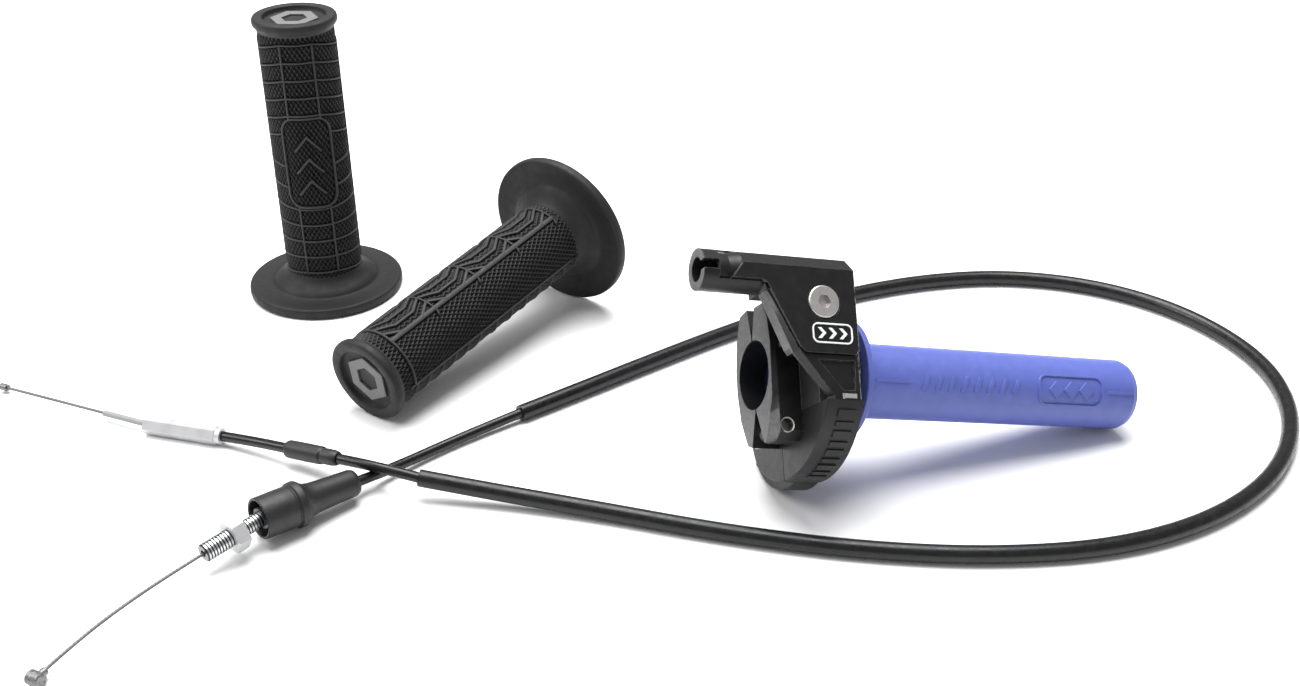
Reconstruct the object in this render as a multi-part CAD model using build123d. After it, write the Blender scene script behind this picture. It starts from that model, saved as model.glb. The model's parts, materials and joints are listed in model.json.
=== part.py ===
"""Quarter-turn motorcycle throttle kit: a clamped throttle housing with its twist tube, a free
throttle cable and a pair of rubber grips, laid out on one table top. Millimetres, +Z up."""

from build123d import *
import os
from math import atan2, cos, degrees, pi, radians, sin, sqrt, tan

# ---------------------------------------------------------------- driving dimensions
# handlebar, clamp and throttle housing; local frame: X outboard along the bar from the clamp face,
# Y rearward, Z towards the cable arm
BAR_R = 11.1  # 22.2 mm handlebar
CLAMP_LEN = 9.4  # clamp face to reel housing
CAP_LEN = 9.2
CLAMP_FRONT = 13.4  # bar axis to the flat front of the clamp
CLAMP_REAR = 13.2
SPLIT_GAP = 0.4  # half of the gap between the clamp halves
BOLT_X, BOLT_Z = 4.2, 18.6
BOLT_R, BOLT_HEAD_R, BOLT_HEAD_H, BOLT_SEAT = 2.0, 3.5, 4.0, 5.2
BODY_END = 21.8  # outboard face of the reel housing
BODY_FRONT = 28.2  # bar axis to the front plane of the roller housing
BLOCK_BACK = 21.2
FRONT_CHAMFER, FRONT_WALL_BACK = 2.2, 25.2  # depth of the front wall's chamfer, its rear face
BODY_TOP = 32.2
PART_Z = -13.9  # parting level between housing and reel covers
DRUM_R = 33.6
DRUM_FLAT = 22.0  # flat at the rear of the drum
HEEL_R, HEEL_X0 = 24.0, 13.6  # bulge at the drum's rear and below
REAR_R = 30.0
COVER_JOINT = 2.0  # joint between the front and rear reel covers
WALL = 2.0

# cable arm, roller and roller cover
ARM_Y, ARM_Z, ARM_R = -22.3, 26.0, 6.5
ARM_TIP = -27.5
NECK_X, NECK_END, FACET_X = -22.1, -18.9, -15.0  # collar on the arm, then a cone to the flat facets
NECK_COLLAR_R, ARM_END = 5.6, -7.0
THREAD_R = 3.8
THREAD_END = -15.0
ROLLER_X, ROLLER_Z = 11.2, 16.6
ROLLER_R, GROOVE_R, ROLLER_W = 8.0, 6.5, 4.6
BEARING_R, AXLE_R, AXLE_PLAY = 5.2, 3.0, 0.05
COVER_FRONT, COVER_BACK = 29.2, 25.0
COVER_GAP = 0.2
SCREW_HEAD_R, SCREW_HEX = 5.2, 4.0
PILLAR_Y = -18.4  # floor of the roller pocket

# reel, twist tube and end plate
REEL_R, REEL_GROOVE_R, REEL_X0, REEL_X1 = 21.4, 18.8, 13.0, 19.8
CHAMBER_R, CHAMBER_X0, CHAMBER_X1 = 22.8, 12.4, 20.3
COVER_INNER_R = 31.0
TUBE_R, TUBE_END_R, TUBE_BORE = 12.3, 12.05, 11.35
TUBE_X0, TUBE_LEN = 10.0, 140.4
FLANGE_R, FLANGE_X0, FLANGE_X1 = 19.8, 30.3, 32.3
COLLAR_R, COLLAR_X1 = 17.4, 29.7
TUBE_PLAY = 0.7

# grips
GRIP_LEN, GRIP_R0, GRIP_R1 = 115.0, 14.9, 14.5
GRIP_FLANGE_R, GRIP_RIM_Z = 31.0, 3.4
GRIP_FLANGE_LEN, GRIP_FOOT_R = 8.0, 16.6  # where the flange passes into the barrel
GRIP_BEAD_R, GRIP_BEAD_Z = 16.0, 114.1
GRIP_BORES = {"left": 11.1, "right": 12.2}
GRIP_DEPTH = 111.0
RECESS_R, RECESS_FLOOR = 11.8, 113.0

# throttle cable
CONDUIT_R, SLEEVE_R, WIRE_R = 1.8, 2.9, 0.55
THREAD_M6, NECK_R, LOCKNUT_AF, LOCKNUT_W = 3.0, 2.6, 10.0, 4.4
THREAD_PITCH, ADJUSTER_COLLAR_R, WIRE_PASSAGE_R = 1.0, 3.6, 1.15
BOOT_LEN, CUP_R, BOOT_RING_R = 35.0, 6.85, 7.7
NIPPLE_R, NIPPLE_LEN = 2.2, 4.6

# ---------------------------------------------------------------- layout on the table
BORE_AT = (31.8, -72.1, 42.3)  # centre of the clamp face
BAR_AZIMUTH = 16.2
HOUSING_LEAN = 43.5
BAR_SLOPE = 12.85  # the tube's end and the reel cover's heel both stand on the table
STANDING_AT = (-135.5, 70.5)
LYING_AT = (-37.7, 58.1)  # below the centre of the flange's rim
LYING_HEADING = -124.9

# cable route: points by hand, in order from the small nipple to the barrel nipple
NIPPLE_A = (-235.8, -14.6, 1.9)
LINER_START, LINER_END = (-194.3, -32.9, 2.75), (-176.6, -40.7, 3.1)
FERRULE_START, FERRULE_END = (-176.9, -40.7, 3.1), (-148.6, -48.3, 3.2)
CONDUIT_A = [
    (-148.6, -48.3, 3.2),
    (-137.5, -52.5, 4.1),
    (-122.0, -60.2, 5.9),
    (-104.0, -68.9, 7.9),
    (-89.0, -74.9, 8.5),
    (-76.0, -79.3, 7.6),
]
SLEEVE = [
    (-76.0, -79.3, 7.6),
    (-53.0, -82.6, 4.8),
    (-17.0, -90.6, 3.0),
    (21.0, -102.0, 3.0),
    (62.0, -110.8, 3.0),
    (104.0, -114.0, 3.0),
    (145.0, -109.5, 3.0),
    (181.0, -93.8, 3.0),
    (210.0, -67.5, 3.0),
    (227.0, -33.0, 3.0),
    (229.5, 3.0, 3.0),
    (214.0, 38.0, 3.0),
    (185.0, 62.5, 3.0),
    (147.0, 72.5, 3.0),
    (107.0, 67.0, 3.0),
    (66.0, 49.8, 3.0),
    (31.0, 26.5, 3.0),
    (0.0, 3.2, 3.0),
    (-28.0, -18.8, 3.0),
    (-47.0, -33.2, 2.95),
]
CONDUIT_B = [
    (-47.0, -33.2, 2.95),
    (-64.5, -45.8, 2.1),
    (-85.5, -65.4, 2.6),
    (-97.0, -79.1, 5.7),
    (-107.0, -89.0, 7.0),
]
BOOT_SMALL, BOOT_OPEN = (-97.0, -79.1, 6.0), (-122.6, -103.0, 8.85)
ADJUSTER_IN, ADJUSTER_TIP = (-117.9, -97.7, 8.9), (-135.8, -118.4, 7.4)
NIPPLE_B = (-169.8, -166.6, 2.2)
LOCKNUT_FROM_TIP = 11.6
WIRE_B = [
    (-128.94, -110.47, 7.97),
    (-142.33, -125.95, 6.85),
    (-155.0, -142.3, 5.4),
    (-163.2, -154.6, 3.8),
    (-168.2, -163.3, 2.5),
]
COLLAR_AT = 0.12  # share of its run of the route at which the collar starts


# ---------------------------------------------------------------- helpers
def tube(radius, x0, x1, y=0.0, z=0.0):
    """Cylinder along X from x0 to x1."""
    return Pos((x0 + x1) / 2, y, z) * (Rot(Y=90) * Cylinder(radius, x1 - x0))


def pin_y(radius, y0, y1, x, z):
    """Cylinder along Y from y0 to y1."""
    return Pos(x, (y0 + y1) / 2, z) * (Rot(X=90) * Cylinder(radius, y1 - y0))


def block(x0, x1, y0, y1, z0, z1):
    return Pos((x0 + x1) / 2, (y0 + y1) / 2, (z0 + z1) / 2) * Box(x1 - x0, y1 - y0, z1 - z0)


def plate_x(points, x0, x1):
    """Outline in (Y, Z) extruded along X from x0 to x1."""
    face = make_face(Polyline(*[(x0, y, z) for y, z in points], close=True))
    return extrude(face, amount=x1 - x0, dir=(1, 0, 0))


def plate_y(points, y0, y1):
    """Outline in (X, Z) extruded along Y from y0 to y1."""
    face = make_face(Polyline(*[(x, y0, z) for x, z in points], close=True))
    return extrude(face, amount=y1 - y0, dir=(0, 1, 0))


def turned(profile):
    """Solid of revolution about Z from (radius, height) points."""
    face = make_face(Polyline(*[(r, 0, z) for r, z in profile], close=True))
    return revolve(face, Axis.Z)


def aimed(start, end):
    """Location at start whose Z axis points at end."""
    direction = Vector(*end) - Vector(*start)
    return Plane(origin=start, z_dir=direction).location


def span(start, end):
    return (Vector(*end) - Vector(*start)).length


def along(start, end, distance):
    step = (Vector(*end) - Vector(*start)).normalized() * distance
    return tuple(Vector(*start) + step)


def cord(points, radius, name):
    """Round cord along straight runs joined by the largest tangent arcs that the runs allow."""
    pts = [Vector(*p) for p in points]
    runs = [b - a for a, b in zip(pts, pts[1:])]
    radii = []
    for one, two in zip(runs, runs[1:]):
        half_turn = radians(one.get_angle(two)) / 2
        radii.append(0.45 * min(one.length, two.length) / tan(half_turn))
    path = FilletPolyline(*pts, radius=radii)
    solid = sweep(Plane(origin=pts[0], z_dir=runs[0]) * Circle(radius), path=path)
    section = pi * radius**2
    print(
        f"{name}: length {path.length:.1f}, smallest radius {min(radii):.1f}, "
        f"volume ratio {solid.volume / (section * path.length):.4f}"
    )
    return solid


THROTTLE = (
    Pos(*BORE_AT) * Rot(Z=BAR_AZIMUTH) * Rot(Y=BAR_SLOPE) * Rot(X=-HOUSING_LEAN)
)


# ---------------------------------------------------------------- housing
def clamp_front_outline():
    return [
        (-SPLIT_GAP, BAR_R + 0.9), (-2.9, 21.3), (-8.6, 21.3), (-12.3, 15.3),
        (-CLAMP_FRONT, 8.0), (-CLAMP_FRONT, -9.0), (-CLAMP_FRONT, -20.4), (-10.0, -23.0),
        (-5.4, -23.2), (-SPLIT_GAP, -BAR_R - 0.9),
    ]


def clamp_face_outline():
    """Clamp face inside the bevel that widens towards its lower end."""
    return [
        (-SPLIT_GAP, BAR_R + 0.9), (-2.9, 21.3), (-8.6, 21.3), (-11.9, 15.6),
        (-13.0, 8.0), (-12.5, -9.0), (-7.6, -20.6), (-5.8, -22.9),
        (-5.2, -23.0), (-SPLIT_GAP, -BAR_R - 0.9),
    ]


def clamp_rear_outline():
    return [
        (SPLIT_GAP, BAR_R + 0.9), (2.7, 22.1), (8.3, 21.2), (11.6, 13.5), (CLAMP_REAR, 4.0),
        (CLAMP_REAR, -3.5), (11.5, -13.0), (7.2, -21.6), (4.0, -22.8),
        (SPLIT_GAP, -BAR_R - 0.9),
    ]


def cover_outline(grow=0.0):
    return [
        (NECK_X - grow, 22.4 - grow), (-8.6 - grow, 22.4 - grow), (-7.2 - grow, 21.4 - grow),
        (2.4 - grow, 2.2 - grow),
        (4.4, 0.4 - grow), (21.0, 0.4 - grow), (22.2 + grow, 1.6 - grow),
        (22.2 + grow, BODY_TOP + grow), (NECK_X - grow, BODY_TOP + grow),
    ]


def cover_envelope(grow=0.0):
    """Front plate plus the bar that closes the arm's cable channel from above."""
    front = plate_y(cover_outline(grow), -COVER_FRONT, -COVER_BACK + grow)
    top = block(NECK_X - grow, 22.2 + grow, -COVER_BACK, -19.6 + grow, 28.8 - grow, BODY_TOP + grow)
    return front + top


def cover_prism():
    """Outer shape of the arm: collar and cone at the neck, then flat facets with a chamfered top."""
    neck = [
        (0, NECK_X - 1), (NECK_COLLAR_R, NECK_X - 1), (NECK_COLLAR_R, NECK_END),
        (ARM_R - 0.1, FACET_X), (ARM_R - 0.1, FACET_X + 1), (0, FACET_X + 1),
    ]
    round_neck = Pos(0, ARM_Y, ARM_Z) * Rot(Y=90) * turned(neck)
    section = [
        (-COVER_FRONT, -1.0), (-COVER_FRONT, 27.4), (-24.0, BODY_TOP), (-15.8, BODY_TOP),
        (-15.8, -1.0),
    ]
    faceted = plate_x(section, NECK_END, 23.0)
    point = [
        (NECK_END - 1, 22.2), (NECK_END + 0.1, 22.2), (FACET_X, 27.2), (-17.4, 33),
        (NECK_END - 1, 33),
    ]
    return round_neck + (faceted - plate_y(point, -COVER_FRONT - 1, -15.0))


def roller_pocket():
    pocket = pin_y(ROLLER_R + 1.0, -COVER_BACK - 1, PILLAR_Y, ROLLER_X, ROLLER_Z)
    drop = block(ROLLER_X + 2.6, BODY_END - 1.6, -COVER_BACK, PILLAR_Y, -12.0, ROLLER_Z)
    return pocket + drop


def front_wall():
    """Wall below and beside the cover; its inboard edge is chamfered and overhangs a dark recess."""
    def face(edge, y):
        points = edge + [(22.2, PART_Z), (22.2, 27.0), (edge[0][0], 27.0)]
        return make_face(Polyline(*[(x, y, z) for x, z in points], close=True))

    front = face([(-7.3, 21.4), (2.6, 1.2), (13.2, -12.4), (13.4, PART_Z)], -BODY_FRONT)
    inner_edge = [(-7.7, 21.4), (1.2, 0.9), (11.9, -12.4), (11.9, PART_Z)]
    back = face(inner_edge, FRONT_CHAMFER - BODY_FRONT)
    wall = loft([front, back], ruled=True)
    return wall + extrude(back, amount=BODY_FRONT - FRONT_CHAMFER - FRONT_WALL_BACK, dir=(0, 1, 0))


def clamp_front():
    bevelled = [
        make_face(Polyline(*[(x, y, z) for y, z in outline], close=True))
        for x, outline in ((0, clamp_face_outline()), (1.7, clamp_front_outline()))
    ]
    return loft(bevelled, ruled=True) + plate_x(clamp_front_outline(), 1.7, CLAMP_LEN)


def housing_body():
    clamp = clamp_front()
    clamp += block(3.0, CLAMP_LEN, -CLAMP_FRONT - 2.4, -CLAMP_FRONT + 2, 6.0, 19.5)
    reel_case = tube(DRUM_R, CLAMP_LEN, BODY_END)
    reel_case &= block(0, 30, -FRONT_WALL_BACK - 0.5, 0, PART_Z, 26.0)
    rear_case = tube(REAR_R, CLAMP_LEN, BODY_END)
    rear_case &= block(0, 30, -0.5, DRUM_FLAT, PART_Z, 26.0)
    rib_outline = [(-7.7, 21.4), (0.6, 2.3), (1.6, 0.9), (22.0, 0.9), (22.0, 27.0), (-7.7, 27.0)]
    rib = plate_y(rib_outline, FRONT_CHAMFER - BODY_FRONT - 0.1, -BLOCK_BACK)
    bridge_outline = [(5.0, 21.0), (6.0, 8.0), (9.6, 8.0), (9.6, 21.0)]
    bridge = plate_y(bridge_outline, -BLOCK_BACK - 1, -9.0)
    arm = tube(ARM_R, ARM_TIP, ARM_END, ARM_Y, ARM_Z)
    arm_box = block(ARM_END - 0.7, 22.2, -BODY_FRONT, -15.8, ARM_Z - ARM_R + 0.1, BODY_TOP)
    arm_box &= cover_prism()
    solid = clamp + reel_case + rear_case + front_wall() + rib + bridge + arm + arm_box
    solid -= cover_envelope(COVER_GAP)
    solid -= tube(BAR_R, -1, CLAMP_LEN + 1)
    solid -= tube(TUBE_R + TUBE_PLAY, TUBE_X0 - 0.4, BODY_END + 1)
    solid -= tube(CHAMBER_R, CHAMBER_X0, BODY_END + 1)
    solid -= roller_pocket()
    solid -= tube(THREAD_R, ARM_TIP - 1, THREAD_END, ARM_Y, ARM_Z)
    # cable slot, open at the tip
    solid -= block(ARM_TIP - 1, ROLLER_X, -32, ARM_Y + 2.0, ARM_Z - 1.2, ARM_Z + 1.7)
    solid -= tube(1.8, ARM_TIP, ROLLER_X, ARM_Y + 1.6, ARM_Z)
    # lightening pocket below the cover, its mark and the slot that lets the cap's bolts through
    recess = [(8.6, -1.4), (20.9, -1.4), (20.4, -10.6), (16.4, -10.6)]
    solid -= plate_y(recess, -BODY_FRONT - 1, -BODY_FRONT + 0.8)
    for z in (BOLT_Z, -BOLT_Z):
        solid -= pin_y(BOLT_R + 0.05, -40 if z < 0 else -18, 1, BOLT_X, z)
    mouth = turned([(0, 0), (BOLT_R + 0.35, 0), (BOLT_R, 0.35), (0, 0.35)])
    solid -= Pos(BOLT_X, -CLAMP_FRONT, -BOLT_Z) * Rot(X=-90) * mouth
    solid += pin_y(AXLE_R + 1.3, PILLAR_Y - 0.8, PILLAR_Y, ROLLER_X, ROLLER_Z)
    solid += block(16.6, 20.8, -BODY_FRONT - 0.3, -BODY_FRONT + 0.5, -13.2, -11.7)
    return solid


def clamp_cap():
    cap = plate_x(clamp_rear_outline(), 0, CAP_LEN) - tube(BAR_R, -1, CLAMP_LEN)
    for z in (BOLT_Z, -BOLT_Z):
        cap -= pin_y(BOLT_R + 0.2, -1, 20, BOLT_X, z)
        cap -= pin_y(BOLT_HEAD_R + 0.2, BOLT_SEAT, 20, BOLT_X, z)
    return cap


def clamp_bolt(z):
    shank = pin_y(BOLT_R, -CLAMP_FRONT + 3.4, BOLT_SEAT, BOLT_X, z)
    head = pin_y(BOLT_HEAD_R, BOLT_SEAT, BOLT_SEAT + BOLT_HEAD_H, BOLT_X, z)
    head = chamfer(head.edges().sort_by(Axis.Y)[-1], 0.4)
    socket = Pos(BOLT_X, BOLT_SEAT + BOLT_HEAD_H, z) * Rot(X=90) * RegularPolygon(1.75, 6)
    return shank + head - extrude(socket, amount=2.0, dir=(0, -1, 0))


def roller_cover():
    cover = cover_envelope() & cover_prism()
    cover -= pin_y(SCREW_HEAD_R + 0.25, -COVER_FRONT - 1, -COVER_FRONT + 1.2, ROLLER_X, ROLLER_Z)
    cover -= pin_y(AXLE_R + 0.2, -COVER_FRONT, -COVER_BACK + 1, ROLLER_X, ROLLER_Z)
    cover -= tube(THREAD_R, NECK_X - 2, THREAD_END, ARM_Y, ARM_Z)
    lower = cover.edges().filter_by(GeomType.LINE).filter_by(Axis.Y)
    lower = lower.filter_by(lambda e: e.center().Z < 3 and e.length > 3)
    return fillet(lower, 0.6)


def cover_screw():
    """Stainless hex-socket screw that carries the roller's axle bush."""
    head = pin_y(SCREW_HEAD_R, -COVER_FRONT - 0.5, -COVER_FRONT + 1.2, ROLLER_X, ROLLER_Z)
    head = fillet(head.edges().sort_by(Axis.Y)[0], 0.6)
    shank = pin_y(AXLE_R - 0.8, -COVER_FRONT + 1.2, PILLAR_Y - 0.8, ROLLER_X, ROLLER_Z)
    hexagon = RegularPolygon(SCREW_HEX / sqrt(3), 6)
    socket = Pos(ROLLER_X, -COVER_FRONT - 0.5, ROLLER_Z) * Rot(X=90) * hexagon
    return head + shank - extrude(socket, amount=1.5, dir=(0, 1, 0))


def roller_axle():
    bush = pin_y(AXLE_R, -COVER_BACK, PILLAR_Y - 0.8, ROLLER_X, ROLLER_Z)
    return bush - pin_y(AXLE_R - 0.8, -COVER_BACK - 1, PILLAR_Y, ROLLER_X, ROLLER_Z)


def roller_bearing():
    y1 = ARM_Y + ROLLER_W / 2 - 0.2
    y0 = ARM_Y - ROLLER_W / 2 + 0.2
    ring = pin_y(BEARING_R, y0, y1, ROLLER_X, ROLLER_Z)
    ring -= pin_y(AXLE_R + AXLE_PLAY, y0 - 1, y1 + 1, ROLLER_X, ROLLER_Z)
    for y in (y0, y1):
        groove = pin_y(4.6, y - 0.3, y + 0.3, ROLLER_X, ROLLER_Z)
        ring -= groove - pin_y(3.7, y - 1, y + 1, ROLLER_X, ROLLER_Z)
    return ring


def cable_roller():
    """Grooved roller that turns the cable from the arm down to the reel."""
    half = ROLLER_W / 2
    profile = [
        (BEARING_R, -half), (ROLLER_R, -half), (ROLLER_R, -half + 0.5), (GROOVE_R, -0.5),
        (GROOVE_R, 0.5), (ROLLER_R, half - 0.5), (ROLLER_R, half), (BEARING_R, half),
    ]
    return Pos(ROLLER_X, ARM_Y, ROLLER_Z) * (Rot(X=90) * turned(profile))


def cover_badge():
    """Plain rounded frame with three chevrons, raised on the roller cover."""
    at = Location((13.4, -COVER_FRONT, 6.6), (90, 0, 0))
    marks = [RectangleRounded(13.6, 6.4, 2.0) - RectangleRounded(12.6, 5.4, 1.5)]
    for x in (-4.0, -0.4, 3.2):
        outline = [
            (x - 1, 1.7), (x + 0.2, 1.7), (x + 1.8, 0), (x + 0.2, -1.7), (x - 1, -1.7), (x + 0.6, 0)
        ]
        marks.append(make_face(Polyline(*outline, close=True)))
    raised = [extrude(at * mark, amount=0.25) for mark in marks]
    return Compound(children=[s for part in raised for s in part.solids()])


# ---------------------------------------------------------------- reel covers and end plate
def reel_cover_shell():
    outer = tube(DRUM_R, CLAMP_LEN, BODY_END)
    outer = chamfer(outer.edges().sort_by(Axis.X)[0], 0.5)
    outer &= block(0, 30, -40, DRUM_FLAT, -40, PART_Z - 0.1)
    return outer - tube(COVER_INNER_R, CLAMP_LEN + WALL, CHAMBER_X1)


def reel_cover_front():
    """Front half of the reel cover, with plain raised bars round its rim."""
    cover = reel_cover_shell() & block(0, 30, -40, COVER_JOINT - 0.3, -40, 0)
    for index, angle in enumerate(range(-32, -84, -6)):
        width = 1.7 if index % 2 else 2.5
        bar = block(13.6, 19.6, -width / 2, width / 2, DRUM_R - 1.0, DRUM_R + 0.5)
        cover += Rot(X=90 - angle) * bar
    return cover


def reel_cover_rear():
    """Rear half of the reel cover, with the heel that the throttle stands on."""
    slope, lean = radians(BAR_SLOPE), radians(HOUSING_LEAN)
    reach = (BORE_AT[2] - BODY_END * sin(slope)) / cos(slope)
    centre = reach - HEEL_R
    heel = tube(HEEL_R, HEEL_X0, BODY_END, centre * sin(lean), -centre * cos(lean))
    heel &= block(0, 30, COVER_JOINT, 40, -50, PART_Z - 0.1)
    heel -= tube(COVER_INNER_R, CLAMP_LEN + WALL, CHAMBER_X1)
    return (reel_cover_shell() & block(0, 30, COVER_JOINT, 40, -40, 0)) + heel


def end_plate():
    plate = tube(CHAMBER_R - 0.05, CHAMBER_X1 + 0.1, BODY_END) & block(0, 40, -40, 40, PART_Z, 40)
    collar = tube(COLLAR_R, BODY_END, COLLAR_X1)
    collar = chamfer(collar.edges().sort_by(Axis.X)[-1], 1.0)
    plate += collar
    plate -= block(ROLLER_X + 2.6, BODY_END - 1.6, -COVER_BACK, PILLAR_Y, -12.0, ROLLER_Z)
    return plate - tube(TUBE_R + 0.4, CHAMBER_X0, COLLAR_X1 + 1)


# ---------------------------------------------------------------- twist tube and reel
def throttle_tube():
    profile = [
        (TUBE_BORE, TUBE_X0), (TUBE_R, TUBE_X0), (TUBE_R, FLANGE_X0), (FLANGE_R - 0.3, FLANGE_X0),
        (FLANGE_R, FLANGE_X0 + 0.3), (FLANGE_R, FLANGE_X1 - 0.3), (FLANGE_R - 0.3, FLANGE_X1),
        (TUBE_R + 0.6, FLANGE_X1), (TUBE_R, FLANGE_X1 + 1.2), (TUBE_R - 0.02, 47.0),
        (TUBE_END_R, TUBE_LEN - 3.0), (TUBE_END_R - 0.9, TUBE_LEN - 0.9),
        (TUBE_END_R - 3.0, TUBE_LEN), (0, TUBE_LEN), (0, TUBE_LEN - 2.6),
        (TUBE_BORE, TUBE_LEN - 2.6),
    ]
    barrel = Rot(Y=90) * turned(profile)
    skin = tube(TUBE_R + 0.3, 36.0, 138.0) - tube(TUBE_R - 0.6, 35.0, 139.0)
    front = Plane(origin=(0, -20, 0), x_dir=(1, 0, 0), z_dir=(0, -1, 0))
    marks = [Pos(43.5, -2.6) * Rectangle(13.0, 0.8), Pos(131.5, -2.6) * Rectangle(11.0, 0.8)]
    for index in range(8):
        marks.append(Pos(55.5 + 4.9 * index, -2.6) * Rot(Z=68) * Rectangle(5.4, 1.3))
    frame = RectangleRounded(26.0, 10.4, 3.4) - RectangleRounded(24.6, 9.0, 2.7)
    marks.append(Pos(111.5, -2.6) * frame)
    for x in (105.5, 111.5, 117.5):
        marks.append(Pos(x, -2.6) * Rot(Z=45) * Rectangle(4.2, 4.2))
    for mark in marks:
        barrel += extrude(front * mark, amount=-12) & skin
    return barrel


def cable_reel():
    """Reel on the tube, with a groove for the inner wire and a pocket for the barrel nipple."""
    mid = (REEL_X0 + REEL_X1) / 2
    profile = [
        (TUBE_R, REEL_X0), (REEL_R, REEL_X0), (REEL_R, REEL_X0 + 1.4), (REEL_GROOVE_R, mid - 0.8),
        (REEL_GROOVE_R, mid + 0.8), (REEL_R, REEL_X1 - 1.4), (REEL_R, REEL_X1), (TUBE_R, REEL_X1),
    ]
    reel = Rot(Y=90) * turned(profile)
    reel -= tube(NIPPLE_R, mid - 3.2, REEL_X1 + 1, 6.4, 17.0)
    for angle in (150, 210, 270):
        reel -= Rot(X=angle) * tube(1.9, REEL_X0 - 1, REEL_X1 + 1, 0, 15.6)
    return reel


# ---------------------------------------------------------------- grips
def grip_flange(bore_r):
    """Hand guard: a thick rim, a shallow dish and a raised collar round the barrel's foot."""
    return turned([
        (bore_r, 0), (GRIP_FLANGE_R - 0.8, 0), (GRIP_FLANGE_R, 0.8), (GRIP_FLANGE_R, GRIP_RIM_Z),
        (GRIP_FLANGE_R - 0.6, 4.1), (29.0, 4.1), (24.5, 3.7), (21.0, 4.2), (20.2, 5.4),
        (19.0, 6.6), (17.0, 7.7), (GRIP_FOOT_R, GRIP_FLANGE_LEN), (bore_r, GRIP_FLANGE_LEN),
    ])


def grip_barrel(bore_r):
    """Barrel with a closed, beaded end and a shallow recess for the end mark."""
    return turned([
        (bore_r, GRIP_FLANGE_LEN), (GRIP_FOOT_R, GRIP_FLANGE_LEN), (15.6, 9.0), (GRIP_R0, 10.6),
        (GRIP_R1, GRIP_LEN - 4.4), (GRIP_BEAD_R - 0.7, GRIP_LEN - 3.2),
        (GRIP_BEAD_R, GRIP_LEN - 2.6), (GRIP_BEAD_R, GRIP_BEAD_Z),
        (GRIP_BEAD_R - 0.4, GRIP_LEN - 0.2), (GRIP_BEAD_R - 1.1, GRIP_LEN),
        (RECESS_R + 0.4, GRIP_LEN), (RECESS_R, RECESS_FLOOR), (0, RECESS_FLOOR), (0, GRIP_DEPTH),
        (bore_r, GRIP_DEPTH),
    ])


def grip_end_mark():
    """Plain hexagonal ring, moulded in grey in the end recess."""
    face = RegularPolygon(9.2, 6) - RegularPolygon(5.0, 6)
    return extrude(Pos(0, 0, RECESS_FLOOR) * face, amount=0.7)


# ---------------------------------------------------------------- cable fittings
def hexagon(across_flats, length):
    return extrude(RegularPolygon(across_flats / sqrt(3), 6), amount=length)


def cable_ferrule():
    """Zinc ferrule: a long hexagon with a bore for the inner wire's liner."""
    length = span(FERRULE_START, FERRULE_END)
    solid = hexagon(5.9, length - 2.0) + Pos(0, 0, length / 2) * Cylinder(2.85, length)
    return aimed(FERRULE_START, FERRULE_END) * (solid - Cylinder(1.5, 2 * (length - 4.0)))


def cable_collar():
    """Moulded joint on the conduit between its two nearest route points."""
    start, end = CONDUIT_A[2], CONDUIT_A[3]
    first = along(start, end, COLLAR_AT * span(start, end))
    length = 21.5
    bore = CONDUIT_R + 0.12
    profile = [
        (bore, 0), (2.5, 0), (3.05, 1.0), (3.1, 14.6), (2.75, 15.0), (2.75, 19.4), (2.3, length),
        (bore, length),
    ]
    return aimed(first, end) * (Pos(0, 0, -4.0) * turned(profile))


def cable_adjuster():
    """Threaded adjuster with a drilled core; the thread is cut as close rings."""
    length = span(ADJUSTER_TIP, ADJUSTER_IN)
    solid = Pos(0, 0, length / 2) * Cylinder(NECK_R, length)
    solid += Pos(0, 0, 7.0) * Cylinder(THREAD_M6, 14.0)
    solid += Pos(0, 0, length - 5.4) * Cylinder(ADJUSTER_COLLAR_R, 1.8)
    solid = chamfer(solid.edges().filter_by(GeomType.CIRCLE).sort_by(Axis.Z)[0], 0.4)
    for turn in range(9):
        z = 1.2 + THREAD_PITCH * turn
        ring = Pos(0, 0, z) * (Cylinder(THREAD_M6 + 1, 0.45) - Cylinder(THREAD_M6 - 0.4, 0.45))
        solid -= ring
    for turn in range(4):
        z = 15.2 + THREAD_PITCH * turn
        solid -= Pos(0, 0, z) * (Cylinder(NECK_R + 1, 0.45) - Cylinder(NECK_R - 0.35, 0.45))
    solid -= Pos(0, 0, length / 2) * Cylinder(WIRE_PASSAGE_R, length + 2)
    return aimed(ADJUSTER_TIP, ADJUSTER_IN) * solid


def cable_locknut():
    nut = hexagon(LOCKNUT_AF, LOCKNUT_W)
    nut &= Pos(0, 0, LOCKNUT_W / 2) * Sphere(6.0)
    nut -= Cylinder(THREAD_M6, 20)
    at = along(ADJUSTER_TIP, ADJUSTER_IN, LOCKNUT_FROM_TIP - LOCKNUT_W / 2)
    return aimed(at, ADJUSTER_IN) * nut


def cable_boot():
    """Rubber dust boot, from its open cup to the small end around the conduit."""
    profile = [
        (5.9, 0), (CUP_R - 0.3, 0), (CUP_R, 0.4), (CUP_R + 0.1, 11.2), (BOOT_RING_R, 11.8),
        (BOOT_RING_R, 14.2), (6.6, 15.8), (5.9, 18.0), (5.2, 24.0), (4.5, 32.6), (3.8, BOOT_LEN),
        (CONDUIT_R + 0.5, BOOT_LEN), (CONDUIT_R + 0.5, 14.0), (5.9, 12.0),
    ]
    return aimed(BOOT_OPEN, BOOT_SMALL) * turned(profile)


def cable_nipple_b():
    end = WIRE_B[-1]
    heading = degrees(atan2(NIPPLE_B[1] - end[1], NIPPLE_B[0] - end[0]))
    barrel = Rot(X=90) * Cylinder(NIPPLE_R, NIPPLE_LEN)
    barrel = chamfer(barrel.edges().filter_by(GeomType.CIRCLE), 0.4)
    tail = tube(1.2, -3.6, -1.6)
    return Pos(*NIPPLE_B) * Rot(Z=heading) * (barrel + tail)


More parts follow.
